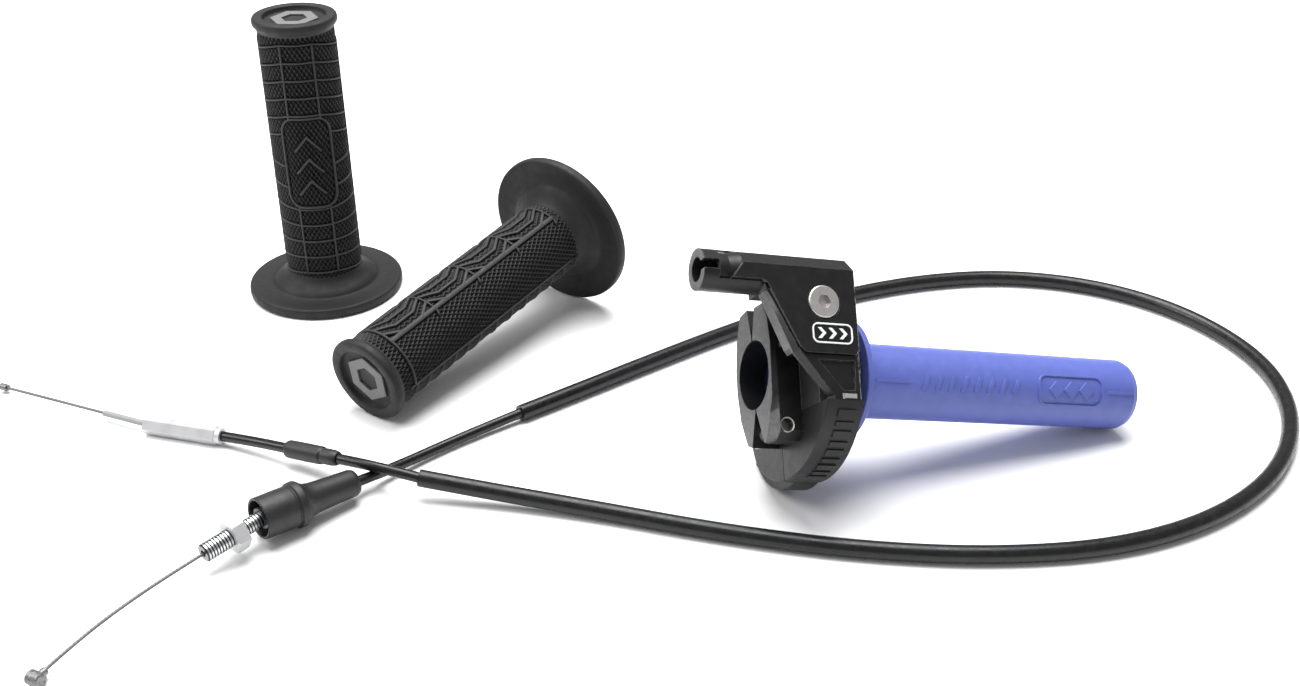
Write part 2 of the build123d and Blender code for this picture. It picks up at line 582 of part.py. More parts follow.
def straight(start, end, radius, bore=0.0):
    length = span(start, end)
    rod = Pos(0, 0, length / 2) * Cylinder(radius, length)
    if bore:
        rod -= Pos(0, 0, length / 2) * Cylinder(bore, length + 1)
    return aimed(start, end) * rod


# ---------------------------------------------------------------- assembly
def print_frame(name, place):
    plane = Plane(place)
    axes = (plane.x_dir, plane.y_dir, plane.z_dir)
    print(name, "at", tuple(plane.origin), "axes", [tuple(round(c, 6) for c in v) for v in axes])


def write(name, shape):
    export_step(shape, f"parts/{name}.step")
    box = shape.bounding_box()
    print(name, [round(v, 2) for v in (*box.min, *box.max)])
    return box


def main():
    os.makedirs("parts", exist_ok=True)
    throttle = {
        "housing_body": housing_body(),
        "clamp_cap": clamp_cap(),
        "clamp_bolts": Compound(children=[clamp_bolt(z) for z in (BOLT_Z, -BOLT_Z)]),
        "roller_cover": roller_cover(),
        "cover_screw": cover_screw(),
        "cover_badge": cover_badge(),
        "roller_axle": roller_axle(),
        "roller_bearing": roller_bearing(),
        "cable_roller": cable_roller(),
        "reel_cover_front": reel_cover_front(),
        "reel_cover_rear": reel_cover_rear(),
        "end_plate": end_plate(),
        "throttle_tube": throttle_tube(),
        "cable_reel": cable_reel(),
    }
    boxes = [write(name, THROTTLE * shape) for name, shape in throttle.items()]

    standing = Pos(*STANDING_AT, 0)
    tilt = degrees(atan2(GRIP_FLANGE_R - GRIP_BEAD_R, GRIP_BEAD_Z - GRIP_RIM_Z))
    rim_height = GRIP_FLANGE_R * cos(radians(tilt))
    lying = Pos(*LYING_AT, rim_height) * Rot(Z=LYING_HEADING) * Rot(Y=90 + tilt)
    lying *= Pos(0, 0, -GRIP_RIM_Z)
    for side, place in (("left", standing), ("right", lying)):
        boxes.append(write(f"grip_{side}_flange", place * grip_flange(GRIP_BORES[side])))
        boxes.append(write(f"grip_{side}_barrel", place * grip_barrel(GRIP_BORES[side])))
        boxes.append(write(f"grip_{side}_end_mark", place * grip_end_mark()))

    write("cable_conduit_a", cord(CONDUIT_A, CONDUIT_R, "conduit a"))
    write("cable_sleeve", cord(SLEEVE, SLEEVE_R, "sleeve"))
    write("cable_conduit_b", cord(CONDUIT_B, CONDUIT_R, "conduit b"))
    write("cable_wire_b", cord(WIRE_B, WIRE_R, "wire b"))
    write("cable_nipple_b", cable_nipple_b())
    wire_a_end = along(NIPPLE_A, LINER_END, span(NIPPLE_A, LINER_START) + 13.0)
    write("cable_wire_a", straight(NIPPLE_A, wire_a_end, WIRE_R))
    nipple_tip = along(NIPPLE_A, LINER_END, -3.0)
    write("cable_nipple_a", straight(nipple_tip, NIPPLE_A, 1.3))
    write("cable_liner", straight(LINER_START, LINER_END, 1.1, 0.75))
    write("cable_ferrule", cable_ferrule())
    write("cable_collar", cable_collar())
    write("cable_boot", cable_boot())
    write("cable_adjuster", cable_adjuster())
    write("cable_locknut", cable_locknut())

    low = [min(tuple(box.min)[i] for box in boxes) for i in range(3)]
    high = [max(tuple(box.max)[i] for box in boxes) for i in range(3)]
    print("without the cable:", [round(v, 2) for v in low], [round(v, 2) for v in high])
    print_frame("throttle", THROTTLE)
    print_frame("lying grip", lying)


main()
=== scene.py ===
"""Looks for the throttle kit: housing with twist tube, free throttle cable and two rubber grips."""

import json
from math import atan2, ceil, cos, pi, radians, sin

import bpy
import numpy as np
from mathutils import Matrix, Vector


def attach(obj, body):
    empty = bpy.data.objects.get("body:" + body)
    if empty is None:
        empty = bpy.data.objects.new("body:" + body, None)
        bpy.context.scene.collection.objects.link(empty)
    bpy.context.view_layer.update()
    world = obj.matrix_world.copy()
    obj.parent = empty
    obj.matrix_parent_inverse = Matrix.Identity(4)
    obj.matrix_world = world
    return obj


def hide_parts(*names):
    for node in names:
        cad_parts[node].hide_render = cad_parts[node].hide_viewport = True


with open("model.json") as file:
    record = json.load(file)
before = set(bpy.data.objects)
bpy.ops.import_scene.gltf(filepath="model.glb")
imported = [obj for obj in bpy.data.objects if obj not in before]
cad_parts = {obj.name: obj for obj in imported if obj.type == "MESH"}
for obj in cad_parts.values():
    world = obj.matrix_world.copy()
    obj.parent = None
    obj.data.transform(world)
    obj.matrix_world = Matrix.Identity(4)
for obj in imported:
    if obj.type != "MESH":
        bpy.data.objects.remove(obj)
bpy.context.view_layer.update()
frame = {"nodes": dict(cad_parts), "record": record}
MM = 0.001

# Housing frame: the clamp's centre and the inboard-to-outboard direction of the handlebar.
BAR_AT = Vector((0.0318, -0.0721, 0.0423))
BAR_DIR = Vector((0.936244, 0.272004, -0.222399))
REAR_DIR = Vector((-0.349384, 0.653862, -0.671115))
ARM_DIR = Vector((-0.037128, 0.70603, 0.707208))
BOLT_X, BOLT_Z, BOLT_R = 0.0042, 0.0186, 0.002

# Ranges in metres from BAR_AT on the housing, over which a mask fades in.
DRUM_START, RIM_START, CLAMP_FRONT = (0.004, 0.003), (0.0212, 0.0214), (-0.0122, -0.0128)
BOLT_RING = (0.00005, 0.00038)  # bright chamfer, beyond the bolt hole's edge
REAR_TAB = ((0.0159, 0.0206), (-0.030, -0.0281), (-0.0133, -0.0116))  # bare metal on the drum

# Cosines to the inboard direction, over which a mask fades in. Faces in the first range turn
# towards the key lamp and get painted light; the other two pick the facets cut by the mill.
LIT_FACES_INBOARD, FACES_SLANTED, FACES_SQUARE = (0.45, 0.6), (0.84, 0.88), (0.965, 0.985)

# Grips: lengths in millimetres from the flange's open end.
GRIP_LEN = 115.0
KNURL_FROM, KNURL_TO = 10.4, 110.4
RECESS_FLOOR, AXIS_R = 113.0, 0.01
BARREL_FOOT_R, BARREL_TOP_R = 14.9, 14.5
FLANGE_R, BEAD_R, BEAD_AT, RIM_AT = 31.0, 16.0, 114.1, 3.4
STANDING_AT = Vector((-0.1355, 0.0705, 0))
LYING_AT = Vector((-0.0377, 0.0581, 0))
LYING_HEADING = radians(-124.9)
BORE_LEFT, BORE_RIGHT, BORE_DEPTH = 11.1, 12.2, 111.0

# Cable routes in millimetres, the same points as the CAD model's runs.
CONDUIT_A = [
    (-148.6, -48.3, 3.2), (-137.5, -52.5, 4.1), (-122.0, -60.2, 5.9),
    (-104.0, -68.9, 7.9), (-89.0, -74.9, 8.5), (-76.0, -79.3, 7.6),
]
SLEEVE = [
    (-76.0, -79.3, 7.6), (-53.0, -82.6, 4.8), (-17.0, -90.6, 3.0), (21.0, -102.0, 3.0),
    (62.0, -110.8, 3.0), (104.0, -114.0, 3.0), (145.0, -109.5, 3.0), (181.0, -93.8, 3.0),
    (210.0, -67.5, 3.0), (227.0, -33.0, 3.0), (229.5, 3.0, 3.0), (214.0, 38.0, 3.0),
    (185.0, 62.5, 3.0), (147.0, 72.5, 3.0), (107.0, 67.0, 3.0), (66.0, 49.8, 3.0),
    (31.0, 26.5, 3.0), (0.0, 3.2, 3.0), (-28.0, -18.8, 3.0), (-47.0, -33.2, 2.95),
]
CONDUIT_B = [
    (-47.0, -33.2, 2.95), (-64.5, -45.8, 2.1), (-85.5, -65.4, 2.6), (-97.0, -79.1, 5.7),
    (-107.0, -89.0, 7.0),
]
WIRE_B = [
    (-128.94, -110.47, 7.97), (-142.33, -125.95, 6.85), (-155.0, -142.3, 5.4),
    (-163.2, -154.6, 3.8), (-168.2, -163.3, 2.5),
]
WIRE_A = [(-235.8, -14.6, 1.9), (-210.3, -25.6, 2.3), (-182.4, -38.2, 3.0)]
CONDUIT_R, SLEEVE_R, WIRE_R = 1.8, 2.9, 0.55
BOOT_SMALL, BOOT_OPEN = Vector((-97.0, -79.1, 6.0)), Vector((-122.6, -103.0, 8.85))
ADJUSTER_TIP = Vector((-135.8, -118.4, 7.4))
ADJUSTER_DIR = (Vector((-117.9, -97.7, 8.9)) - ADJUSTER_TIP).normalized()
THREAD_START, THREAD_PITCH = 1.2, 1.0

# Inner wire: lay and step in metres; its radius varies from the valley's share to the whole.
STRAND_LAY, STRAND_STEP, STRAND_COLUMNS = 0.0075, 0.00035, 24
STRAND_VALLEY, STRAND_CROWN = 0.74, 0.26

# Camera and stage, in metres.
CAMERA_AT, CAMERA_TILT, CAMERA_LENS = (-0.0011, -0.4652, 0.281), radians(60), 40.15
FLOOR_HALF, FLOOR_DROP, WORLD_STRENGTH = 6.0, 0.0003, 0.4
LIGHTS = (  # name, place, aim, width, watts
    ("top", (-0.1, 0.35, 1.5), (0.0, 0.05, 0), 1.4, 51.0),
    ("key", (-1.1, -0.1, 0.9), (0, 0, 0.03), 0.7, 9.0),
)


# ---------------------------------------------------------------- camera
def make_camera():
    data = bpy.data.cameras.new("camera")
    data.lens, data.sensor_width = CAMERA_LENS, 36.0
    data.clip_start, data.clip_end = 0.01, 20.0
    cam = bpy.data.objects.new("camera", data)
    cam.location = CAMERA_AT
    cam.rotation_euler = (CAMERA_TILT, 0, 0)
    bpy.context.collection.objects.link(cam)
    bpy.context.scene.camera = cam


make_camera()


# ---------------------------------------------------------------- materials
class Shader:
    """A principled material that is built up from small procedural layers."""

    def __init__(self, name, base, roughness, metallic=0.0, **sockets):
        self.material = bpy.data.materials.new(name)
        self.material.use_nodes = True
        self.tree = self.material.node_tree
        self.bsdf = self.tree.nodes["Principled BSDF"]
        self.base = (*base, 1.0)
        self.bsdf.inputs["Base Color"].default_value = self.base
        self.bsdf.inputs["Roughness"].default_value = roughness
        self.bsdf.inputs["Metallic"].default_value = metallic
        for socket, value in sockets.items():
            self.bsdf.inputs[socket.replace("_", " ")].default_value = value
        self.coord = self.node("ShaderNodeTexCoord").outputs["Object"]
        self.colour = None
        self.rough = None
        self.normal = None

    def node(self, kind, **settings):
        made = self.tree.nodes.new(kind)
        for key, value in settings.items():
            setattr(made, key, value)
        return made

    def link(self, source, target):
        self.tree.links.new(source, target)

    def math(self, operation, one, two):
        made = self.node("ShaderNodeMath", operation=operation)
        for index, value in enumerate((one, two)):
            if isinstance(value, (int, float)):
                made.inputs[index].default_value = value
            else:
                self.link(value, made.inputs[index])
        return made.outputs[0]

    def noise(self, scale, detail=3.0, stretch=None):
        vector = self.coord
        if stretch is not None:
            mapping = self.node("ShaderNodeMapping")
            mapping.inputs["Rotation"].default_value = stretch[0]
            mapping.inputs["Scale"].default_value = stretch[1]
            self.link(vector, mapping.inputs["Vector"])
            vector = mapping.outputs[0]
        made = self.node("ShaderNodeTexNoise")
        made.inputs["Scale"].default_value = scale
        made.inputs["Detail"].default_value = detail
        self.link(vector, made.inputs["Vector"])
        return made.outputs["Fac"]

    def ramp(self, value, low, high, to_low=0.0, to_high=1.0):
        made = self.node("ShaderNodeMapRange", interpolation_type="SMOOTHSTEP")
        if low > high:
            low, high, to_low, to_high = high, low, to_high, to_low
        self.link(value, made.inputs["Value"])
        for socket, number in (
            ("From Min", low), ("From Max", high), ("To Min", to_low), ("To Max", to_high),
        ):
            made.inputs[socket].default_value = number
        return made.outputs["Result"]

    def tint(self, mask, colour):
        """Mixes another colour in where mask is 1."""
        mix = self.node("ShaderNodeMix", data_type="RGBA")
        self.link(mask, mix.inputs[0])
        if self.colour is None:
            mix.inputs[6].default_value = self.base
        else:
            self.link(self.colour, mix.inputs[6])
        mix.inputs[7].default_value = (*colour, 1.0)
        self.colour = mix.outputs[2]

    def vary_roughness(self, mask, low, high):
        self.rough = self.ramp(mask, 0.3, 0.7, low, high)

    def bump(self, height, depth):
        """Relief of that depth in metres."""
        made = self.node("ShaderNodeBump")
        made.inputs["Strength"].default_value = 1.0
        made.inputs["Distance"].default_value = depth
        self.link(height, made.inputs["Height"])
        if self.normal is not None:
            self.link(self.normal, made.inputs["Normal"])
        self.normal = made.outputs["Normal"]

    def soft_edges(self, radius):
        made = self.node("ShaderNodeBevel", samples=6)
        made.inputs["Radius"].default_value = radius
        self.normal = made.outputs["Normal"]

    def edge_mask(self, radius):
        """1 on the object's sharp edges, broken up by noise."""
        bevel = self.node("ShaderNodeBevel", samples=6)
        bevel.inputs["Radius"].default_value = radius
        dot = self.node("ShaderNodeVectorMath", operation="DOT_PRODUCT")
        self.link(bevel.outputs["Normal"], dot.inputs[0])
        self.link(self.node("ShaderNodeNewGeometry").outputs["Normal"], dot.inputs[1])
        edge = self.ramp(dot.outputs["Value"], 0.999, 0.93)
        return self.math("MULTIPLY", edge, self.ramp(self.noise(900.0), 0.35, 0.6))

    def facing(self, direction, low, high):
        """1 where the surface's own normal points along direction."""
        dot = self.node("ShaderNodeVectorMath", operation="DOT_PRODUCT")
        self.link(self.node("ShaderNodeTexCoord").outputs["Normal"], dot.inputs[0])
        dot.inputs[1].default_value = direction
        return self.ramp(dot.outputs["Value"], low, high)

    def along(self, direction, origin):
        """Distance in metres from origin along direction."""
        dot = self.node("ShaderNodeVectorMath", operation="DOT_PRODUCT")
        self.link(self.coord, dot.inputs[0])
        dot.inputs[1].default_value = direction
        return self.math("SUBTRACT", dot.outputs["Value"], direction.dot(origin))

    def box_mask(self, across, rearward, upward):
        """1 inside a box given by its ranges in metres along the housing's own axes."""
        mask = None
        ranges = zip((BAR_DIR, REAR_DIR, ARM_DIR), (across, rearward, upward))
        for direction, (low, high) in ranges:
            place = self.along(direction, BAR_AT)
            above = self.math("GREATER_THAN", place, low)
            inside = self.math("MULTIPLY", above, self.math("LESS_THAN", place, high))
            mask = inside if mask is None else self.math("MULTIPLY", mask, inside)
        return mask

    def bolt_ring(self, inner, outer):
        """1 on a ring round the front clamp bolt's hole, from inner to outer beyond its edge."""
        sideways = self.math("SUBTRACT", self.along(BAR_DIR, BAR_AT), BOLT_X)
        upward = self.math("ADD", self.along(ARM_DIR, BAR_AT), BOLT_Z)
        squares = (self.math("POWER", sideways, 2.0), self.math("POWER", upward, 2.0))
        reach = self.math("SQRT", self.math("ADD", *squares), 0.0)
        ring = self.math(
            "MULTIPLY", self.math("GREATER_THAN", reach, BOLT_R + inner),
            self.math("LESS_THAN", reach, BOLT_R + outer),
        )
        front = self.ramp(self.along(REAR_DIR, BAR_AT), *CLAMP_FRONT)
        return self.math("MULTIPLY", ring, front)

    def done(self):
        if self.colour is not None:
            self.link(self.colour, self.bsdf.inputs["Base Color"])
        if self.rough is not None:
            self.link(self.rough, self.bsdf.inputs["Roughness"])
        if self.normal is not None:
            self.link(self.normal, self.bsdf.inputs["Normal"])
        return self.material


def anodised(name, machined):
    """Black anodised aluminium. With the flag set, faces turned inboard, towards the key lamp, get
    painted light, and the facets cut by the mill are lighter, partly bare from machining and partly
    painted light.
    """
    s = Shader(name, (0.006, 0.006, 0.0062), 0.38, Specular_IOR_Level=0.32)
    s.soft_edges(0.00035)
    s.tint(s.ramp(s.noise(240.0, 4.0), 0.4, 0.8), (0.0095, 0.0095, 0.0098))
    s.vary_roughness(s.noise(260.0), 0.34, 0.44)
    if machined:
        inboard = -BAR_DIR
        square = s.facing(inboard, *FACES_SQUARE)
        slanted = s.math("SUBTRACT", s.facing(inboard, *FACES_SLANTED), square)
        before_drum = s.ramp(s.along(BAR_DIR, BAR_AT), *DRUM_START)
        flat = s.math("MULTIPLY", square, before_drum)
        milled_lit_mask = s.math("MAXIMUM", slanted, flat)
        lines = s.noise(700.0, 2.0, stretch=((0.7, 0.3, 0.2), (0.05, 1.0, 1.0)))
        # Painted light: faces turned inboard, towards the key lamp, are painted a little lighter.
        s.tint(s.facing(inboard, *LIT_FACES_INBOARD), (0.016, 0.016, 0.016))
        # Facets cut by the mill: bare metal from machining, made lighter still as painted light of
        # the lamp's reflection; the streaks on the next line are the real milling lines.
        s.tint(milled_lit_mask, (0.082, 0.081, 0.081))
        s.tint(s.math("MULTIPLY", milled_lit_mask, s.ramp(lines, 0.4, 0.8)), (0.12, 0.119, 0.119))
        s.tint(s.bolt_ring(*BOLT_RING), (0.45, 0.45, 0.44))
        s.tint(s.box_mask(*REAR_TAB), (0.3, 0.3, 0.3))
    s.tint(s.edge_mask(0.0004), (0.07, 0.07, 0.07))
    outboard = s.ramp(s.along(BAR_DIR, BAR_AT), *RIM_START)
    s.tint(s.math("MULTIPLY", outboard, s.edge_mask(0.0005)), (0.45, 0.44, 0.42))
    s.bump(s.noise(3200.0, 2.0), 0.000012)
    return s.done()


def moulding(name, base, roughness, grain, depth, **sockets):
    """Moulded plastic or rubber with a fine grain and slight mottling."""
    s = Shader(name, base, roughness, **sockets)
    s.soft_edges(0.0003)
    lighter = tuple(min(1.0, c * 1.12) for c in base)
    s.tint(s.ramp(s.noise(240.0, 4.0), 0.35, 0.8), lighter)
    s.vary_roughness(s.noise(300.0), roughness - 0.03, roughness + 0.05)
    s.bump(s.noise(grain, 3.0), depth)
    return s.done()


def rubber(name, base, roughness):
    """Grip rubber: grained skin, with painted shade that makes the knurl's pits almost black and
    painted highlight that makes the lattice and the ribs paler.
    """
    s = Shader(name, base, roughness, Specular_IOR_Level=0.3)
    s.tint(s.ramp(s.noise(180.0, 4.0), 0.35, 0.8), tuple(c * 1.25 for c in base))
    relief = s.node("ShaderNodeAttribute", attribute_name="relief").outputs["Fac"]
    # Painted highlight: the lattice between the knurl's pits is painted paler.
    s.tint(s.ramp(relief, 0.4, 0.56), tuple(c * 2.8 for c in base))
    # Painted shade: the knurl's pits are painted almost black.
    s.tint(s.ramp(relief, 0.5, 0.25), tuple(c * 0.06 for c in base))
    s.tint(s.ramp(relief, 0.65, 0.69), base)
    # Painted highlight: the rib tops are painted paler.
    s.tint(s.ramp(relief, 0.8, 1.0), tuple(c * 2.7 for c in base))
    s.vary_roughness(s.noise(300.0), roughness - 0.05, roughness + 0.07)
    s.bump(s.noise(2400.0, 3.0), 0.00004)
    return s.done()


def bright_metal(name, base, roughness, edge, shine=1.0, cast=0.0, thread=False):
    """Bare metal; shine is how metallic it is, and cast the depth in metres of a cast surface."""
    s = Shader(name, base, roughness, metallic=shine)
    s.tint(s.ramp(s.noise(160.0), 0.4, 0.7), tuple(c * 0.88 for c in base))
    s.tint(s.edge_mask(0.0002), edge)
    s.vary_roughness(s.noise(800.0), roughness - 0.03, roughness + 0.06)
    # Painted shade: the hollow of the adjuster's thread is painted dark along its helix.
    if thread:
        turns = s.math("DIVIDE", s.along(ADJUSTER_DIR, ADJUSTER_TIP * MM), THREAD_PITCH * MM)
        turn = s.math("FRACT", s.math("SUBTRACT", turns, THREAD_START / THREAD_PITCH), 0.0)
        groove = s.math("ABSOLUTE", s.math("SUBTRACT", turn, 0.5), 0.0)
        s.tint(s.ramp(groove, 0.18, 0.36), (0.035, 0.036, 0.038))
    if cast:
        s.tint(s.ramp(s.noise(1400.0), 0.5, 0.65), tuple(c * 0.5 for c in base))
        s.bump(s.noise(1400.0), cast)
    return s.done()


def braided(name, base, roughness):
    """Cable sheath: black with a thin coat, faint lighter mottling, varied roughness and a fine
    grain.
    """
    s = Shader(
        name, base, roughness, Specular_IOR_Level=0.3, Coat_Weight=0.08, Coat_Roughness=0.2,
    )
    s.tint(s.ramp(s.noise(180.0, 4.0), 0.5, 0.8), tuple(c * 1.6 + 0.002 for c in base))
    s.vary_roughness(s.noise(420.0), roughness - 0.04, roughness + 0.12)
    s.bump(s.noise(1500.0), 0.00002)
    return s.done()


MATERIALS = {
    "anodised_black": anodised("anodised_black", machined=True),
    "anodised_plain": anodised("anodised_plain", machined=False),
    "black_moulding": moulding(
        "black_moulding", (0.0075, 0.0075, 0.0078), 0.42, 2600.0, 0.00002, Specular_IOR_Level=0.3,
    ),
    "stainless": bright_metal("stainless", (0.53, 0.515, 0.5), 0.3, (0.8, 0.79, 0.77), shine=0.8),
    "badge_silver": moulding("badge_silver", (0.72, 0.73, 0.74), 0.4, 2000.0, 0.00001),
    "reel_metal": bright_metal("reel_metal", (0.40, 0.41, 0.43), 0.35, (0.7, 0.7, 0.7)),
    "blue_plastic": moulding(
        "blue_plastic", (0.088, 0.118, 0.405), 0.42, 1900.0, 0.00003, Specular_IOR_Level=0.5,
    ),
    "grip_rubber": rubber("grip_rubber", (0.0125, 0.0125, 0.0125), 0.6),
    "grey_rubber": moulding("grey_rubber", (0.13, 0.13, 0.132), 0.6, 2400.0, 0.00004),
    "boot_rubber": moulding(
        "boot_rubber", (0.0105, 0.0105, 0.0105), 0.48, 1500.0, 0.00005, Specular_IOR_Level=0.42,
    ),
    "conduit_black": braided("conduit_black", (0.006, 0.006, 0.0065), 0.24),
    "sleeve_black": braided("sleeve_black", (0.006, 0.006, 0.0065), 0.3),
    "wire_steel": bright_metal("wire_steel", (0.15, 0.147, 0.145), 0.5, (0.3, 0.3, 0.3), shine=0.6),
    "zinc": bright_metal("zinc", (0.55, 0.56, 0.57), 0.32, (0.7, 0.7, 0.7), thread=True),
    "zinc_bright": bright_metal(
        "zinc_bright", (0.52, 0.52, 0.53), 0.35, (0.7, 0.7, 0.7), shine=0.35,
    ),
    "zinc_cast": bright_metal(
        "zinc_cast", (0.2, 0.2, 0.2), 0.45, (0.3, 0.3, 0.3), shine=0.8, cast=0.00006,
    ),
    "liner_white": moulding("liner_white", (0.24, 0.24, 0.245), 0.5, 1500.0, 0.00002),
}


def paint(obj, name):
    obj.data.materials.clear()
    obj.data.materials.append(MATERIALS[name])


FINER_LOOK = {
    "roller_cover": "anodised_plain", "end_plate": "anodised_plain",
    "cable_ferrule": "zinc_bright", "cable_locknut": "zinc_bright",
    "cable_nipple_a": "zinc_cast", "cable_nipple_b": "zinc_cast",
}
for part in frame["record"]["subparts"]:
    paint(frame["nodes"][part["node"]], FINER_LOOK.get(part["node"], part["material_slot"]))


# ---------------------------------------------------------------- mesh helpers
def add_piece(name, vertices, faces, body, slot, nodes, relief=None):
    """Smooth-shaded mesh that stands for CAD nodes.

    relief is 0 in a pit, 0.6 on the lattice between pits, 0.7 on plain skin and 1 on a rib.
    """
    mesh = bpy.data.meshes.new(name)
    mesh.from_pydata([tuple(v) for v in vertices], [], faces)
    mesh.polygons.foreach_set("use_smooth", [True] * len(mesh.polygons))
    if relief is not None:
        mesh.attributes.new("relief", "FLOAT", "POINT").data.foreach_set("value", relief)
    mesh.update()
    piece = bpy.data.objects.new(name, mesh)
    bpy.context.collection.objects.link(piece)
    finish_piece(piece, body, slot, nodes)
    return piece


def finish_piece(piece, body, slot, nodes):
    """Paints a piece with its slot's material, hides the CAD nodes it replaces and attaches it to
    its body.
    """
    paint(piece, slot)
    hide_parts(*nodes)
    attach(piece, body)


def soften(profile, reach):
    """Rounds each corner of a closed outline with a short arc that starts reach from it."""
    points = [Vector((r, z)) for r, z in profile]
    rounded = []
    for before, corner, after in zip(points[-1:] + points[:-1], points, points[1:] + points[:1]):
        start = corner + (before - corner) * min(0.45, reach / (before - corner).length)
        end = corner + (after - corner) * min(0.45, reach / (after - corner).length)
        for share in (0.0, 0.33, 0.67, 1.0):
            rounded.append(tuple(
                start * (1 - share) ** 2 + corner * 2 * share * (1 - share) + end * share ** 2
            ))
    return rounded


def turned(profile, place, columns=128):
    """Closed ring surface from a closed (radius, height) outline in millimetres."""
    angles = np.linspace(0, 2 * pi, columns, endpoint=False)
    outline = np.array(profile) * MM
    rows = len(outline)
    ring = np.empty((rows, columns, 3))
    ring[..., 0] = outline[:, :1] * np.cos(angles)
    ring[..., 1] = outline[:, :1] * np.sin(angles)
    ring[..., 2] = outline[:, 1:]
    faces = []
    for i in range(rows):
        below, above = i * columns, (i + 1) % rows * columns
        for j in range(columns):
            k = (j + 1) % columns
            faces.append((below + j, above + j, above + k, below + k))
    return transform(ring.reshape(-1, 3), place), faces


def transform(points, place):
    matrix = np.array(place)
    return points @ matrix[:3, :3].T + matrix[:3, 3]


def aimed(start, end):
    """Placement in metres at start, with its Z axis towards end."""
    turn = (end - start).to_track_quat("Z", "Y").to_matrix().to_4x4()
    return Matrix.Translation(start * MM) @ turn


# ---------------------------------------------------------------- grips
# The grip's outside, unrolled: s in degrees round the barrel from the long rib beside the palm's
# chevrons, z in millimetres from the open end.
REF_R = 14.7
DEGREE = REF_R * pi / 180
PALM_END, PANEL_END, FINGERS = 100.0, -76.0, 192.0
SPINE = 24.0
BLOCKS = [104.6, 81.9, 59.1, 36.4, 13.6]
CHEVRONS, CHEVRON_RISE = 6, 6.8
CHEVRON_STEP = PALM_END / CHEVRONS
PALM_RIB_FROM, PALM_RIB_TO = 12.6, 105.0
SIDE_RIB_FROM, SIDE_RIB_TO = 12.9, 107.3
LOW_ROWS_FROM, ROW_STEP, ROWS = 40.6, 6.95, 5
DIAMONDS_ROUND, DIAMOND_LEN = 50, 3.0
COLUMNS_PER_DIAMOND, ROWS_PER_DIAMOND = 6, 8
PIT_DEPTH, RIB_TOP, RIB_ROOT = 0.9, 0.32, 0.95
MOAT, WIDE_MOAT, WIDE_RIB = 0.15, 0.42, 0.9
FRAME_Z, FRAME_HALF_S, FRAME_HALF_Z = 60.0, 38.0, 18.4


def barrel_radius(z):
    share = (z - KNURL_FROM) / (KNURL_TO - KNURL_FROM)
    return BARREL_FOOT_R + (BARREL_TOP_R - BARREL_FOOT_R) * share


def palm_ribs():
    """Long ribs, block arcs and nested chevrons of the palm side: (points, width)."""
    ribs = [
        ([(0, PALM_RIB_FROM), (0, PALM_RIB_TO)], 1.7),
        ([(PALM_END, PALM_RIB_FROM), (PALM_END, PALM_RIB_TO)], 1.0),
    ]
    for edge in BLOCKS[1:]:
        ribs.append(([(-13, edge + 0.8), (-5, edge), (PALM_END, edge)], 0.6))
    for top, bottom in zip(BLOCKS, BLOCKS[1:]):
        for index in range(CHEVRONS):
            level, start = CHEVRON_STEP * index, CHEVRON_STEP * (index + 1)
            upper, lower = top - CHEVRON_RISE, bottom + CHEVRON_RISE
            ribs.append(([(start, top), (level, upper), (level, lower), (start, bottom)], 1.0))
    ribs.append(([(PANEL_END, BLOCKS[0]), (PALM_END, BLOCKS[0])], 0.7))
    ribs.append(([(PANEL_END, SIDE_RIB_FROM), (PANEL_END, SIDE_RIB_TO)], 0.7))
    return ribs


def finger_row(middle, edge_drop, inner=0.0):
    """One cross rib of the finger side, level between the spines and sloping outside them."""
    rows = []
    left, right = PALM_END, FINGERS * 2 - PALM_END
    edge = middle - edge_drop
    if inner > SPINE:
        share = (inner - SPINE) / (FINGERS - PALM_END - SPINE)
        start = middle - edge_drop * share
        rows.append(([(left, edge), (FINGERS - inner, start)], 0.6))
        rows.append(([(FINGERS + inner, start), (right, edge)], 0.6))
    else:
        points = [(left, edge), (FINGERS - SPINE, middle), (FINGERS + SPINE, middle)]
        rows.append((points + [(right, edge)], 0.6))
    return rows


def finger_ribs():
    """Spines, cross ribs and a plain rounded frame with chevrons on the finger side."""
    ribs = []
    low, high = FRAME_Z - FRAME_HALF_Z, FRAME_Z + FRAME_HALF_Z
    for side in (-SPINE, SPINE):
        ribs.append(([(FINGERS + side, SIDE_RIB_FROM), (FINGERS + side, low)], 0.7))
        ribs.append(([(FINGERS + side, high), (FINGERS + side, SIDE_RIB_TO)], 0.7))
    for index in range(ROWS):
        ribs += finger_row(SIDE_RIB_TO - ROW_STEP * index, 4.1)
        ribs += finger_row(LOW_ROWS_FROM - ROW_STEP * index, -1.6 + index)
    ribs += finger_row(72.7, 4.2, inner=FRAME_HALF_S)
    ribs += finger_row(58.0, -1.8, inner=FRAME_HALF_S)
    ribs += finger_row(49.2, -1.6, inner=FRAME_HALF_S)
    corner_s, corner_z = 20.0, 6.0
    outline = []
    for quarter in range(4):
        for step in range(7):
            angle = radians(90 * quarter + 15 * step)
            centre_s = (FRAME_HALF_S - corner_s) * (1 if quarter in (0, 3) else -1)
            centre_z = (FRAME_HALF_Z - corner_z) * (1 if quarter < 2 else -1)
            outline.append((
                FINGERS + centre_s + corner_s * cos(angle),
                FRAME_Z + centre_z + corner_z * sin(angle),
            ))
    ribs.append((outline + outline[:1], 0.8))
    for z in (50.0, 59.0, 68.0):
        ribs.append(([(FINGERS - 20, z - 3), (FINGERS, z + 3), (FINGERS + 20, z - 3)], 0.85))
    return ribs


